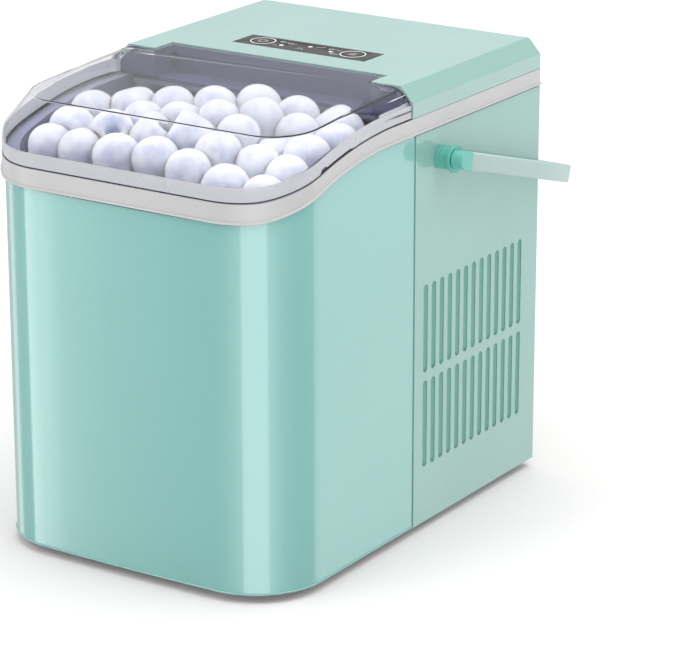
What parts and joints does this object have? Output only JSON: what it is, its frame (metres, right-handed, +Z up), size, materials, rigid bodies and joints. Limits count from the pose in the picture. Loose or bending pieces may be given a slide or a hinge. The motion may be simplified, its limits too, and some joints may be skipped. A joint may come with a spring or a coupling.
{
  "type": "countertop ice maker",
  "caption": "Countertop bullet-ice maker: glossy round-fronted housing, S-curved light band, clear hinged lid over an ice basket, touch deck, side vents and a fold-down carrying bail.",
  "frame": {"origin": "on the table, under the middle of the whole machine's box, bail folded down", "axes": "+Z up, the front of the machine faces -Y, +X is to the right seen from the front"},
  "size_m": [0.263, 0.317, 0.2918],
  "materials": {
    "mint_gloss": "glossy moulded wrap, mint",
    "mint_panel": "satin moulded panels, mint",
    "mint_handle": "satin moulded handle, mint",
    "mint_boss": "satin moulded stub, deeper mint",
    "trim_grey": "fine satin, light grey",
    "smoke_plastic": "satin smoke grey",
    "tub_grey": "fine matte, dark grey",
    "clear_plastic": "clear with a faint grey tint",
    "basket_plastic": "frosted light grey",
    "panel_dark": "fine satin film, warm dark grey",
    "icon_white": "white",
    "button_dark": "satin dark",
    "pan_grey": "moulded light grey",
    "rubber_black": "soft black",
    "hose_silicone": "milky silicone",
    "foam_white": "rigid foam",
    "steel": "zinc plated",
    "chilled_metal": "nickel plated",
    "copper_tube": "drawn copper tube",
    "fin_aluminium": "bare fins",
    "compressor_black": "black enamel",
    "motor_black": "moulded black",
    "board_green": "circuit board lacquer"
  },
  "bodies": {
    "housing": {"front_shell": "mint_gloss", "side_panel_right": "mint_panel", "side_panel_left": "mint_panel", "rear_panel": "mint_panel", "deck_cover": "mint_panel", "pivot_bosses": "mint_boss", "trim_band": "trim_grey", "feet": "trim_grey", "inner_frame": "smoke_plastic", "tub_liner": "tub_grey", "basket_rests": "tub_grey", "ice_sensors": "tub_grey", "level_sensor": "tub_grey", "control_strip": "panel_dark", "button_rings": "icon_white", "indicator_lights": "icon_white", "base_pan": "pan_grey", "fan_frame": "pan_grey", "drain_spout": "pan_grey", "water_pump": "pan_grey", "compressor_grommets": "rubber_black", "cable_gland": "rubber_black", "pump_hose": "hose_silicone", "intake_hose": "hose_silicone", "drain_hose": "hose_silicone", "foam_insulation": "foam_white", "base_screws": "steel", "rear_screws": "steel", "condenser_legs": "steel", "compressor_base": "steel", "evaporator_plate": "chilled_metal", "evaporator_fingers": "chilled_metal", "evaporator_tube": "copper_tube", "discharge_line": "copper_tube", "suction_line": "copper_tube", "liquid_line": "copper_tube", "filter_drier": "copper_tube", "condenser_core": "fin_aluminium", "compressor": "compressor_black", "tray_motor": "motor_black", "fan_motor": "motor_black", "board_components": "motor_black", "tact_switches": "motor_black", "control_board": "board_green", "main_board": "board_green", "board_standoffs": "board_green"},
    "lid": {"lid": "clear_plastic", "lid_hinge_pins": "clear_plastic"},
    "handle": {"handle_bail": "mint_handle", "bail_knuckles": "mint_boss", "pivot_pins": "steel"},
    "power_button": {"button_power": "button_dark"},
    "select_button": {"button_select": "button_dark"},
    "basket": {"ice_basket": "basket_plastic"},
    "tray": {"water_tray": "basket_plastic", "tray_shaft": "steel", "ice_shovel": "basket_plastic"},
    "fan": {"fan_blade": "pan_grey", "fan_shaft": "steel"},
    "drain_plug": {"drain_plug": "rubber_black"}
  },
  "joints": [
    {"name": "lid_hinge", "type": "hinge", "parent": "housing", "child": "lid", "pos_m": [0, 0.00153, 0.286], "axis": [-1, 0, 0], "range_deg": [0, 90]},
    {"name": "bail_pivot", "type": "hinge", "parent": "housing", "child": "handle", "pos_m": [0, 0.02433, 0.2415], "axis": [1, 0, 0], "range_deg": [0, 105]},
    {"name": "power_press", "type": "slide", "parent": "housing", "child": "power_button", "axis": [0, 0, -1], "range_m": [0, 0.0012], "stiffness_N_per_m": 500, "springref_m": -0.001},
    {"name": "select_press", "type": "slide", "parent": "housing", "child": "select_button", "axis": [0, 0, -1], "range_m": [0, 0.0012], "stiffness_N_per_m": 500, "springref_m": -0.001},
    {"name": "basket_lift", "type": "slide", "parent": "housing", "child": "basket", "axis": [0, 0, 1], "range_m": [0, 0.008]},
    {"name": "tray_tilt", "type": "hinge", "parent": "housing", "child": "tray", "pos_m": [0, 0.02503, 0.2325], "axis": [1, 0, 0], "range_deg": [0, 50]},
    {"name": "fan_spin", "type": "hinge", "parent": "housing", "child": "fan", "pos_m": [0.074, 0.06603, 0.1035], "axis": [1, 0, 0], "continuous": true},
    {"name": "drain_pull", "type": "slide", "parent": "housing", "child": "drain_plug", "axis": [0, 1, 0], "range_m": [0, 0.012]}
  ]
}
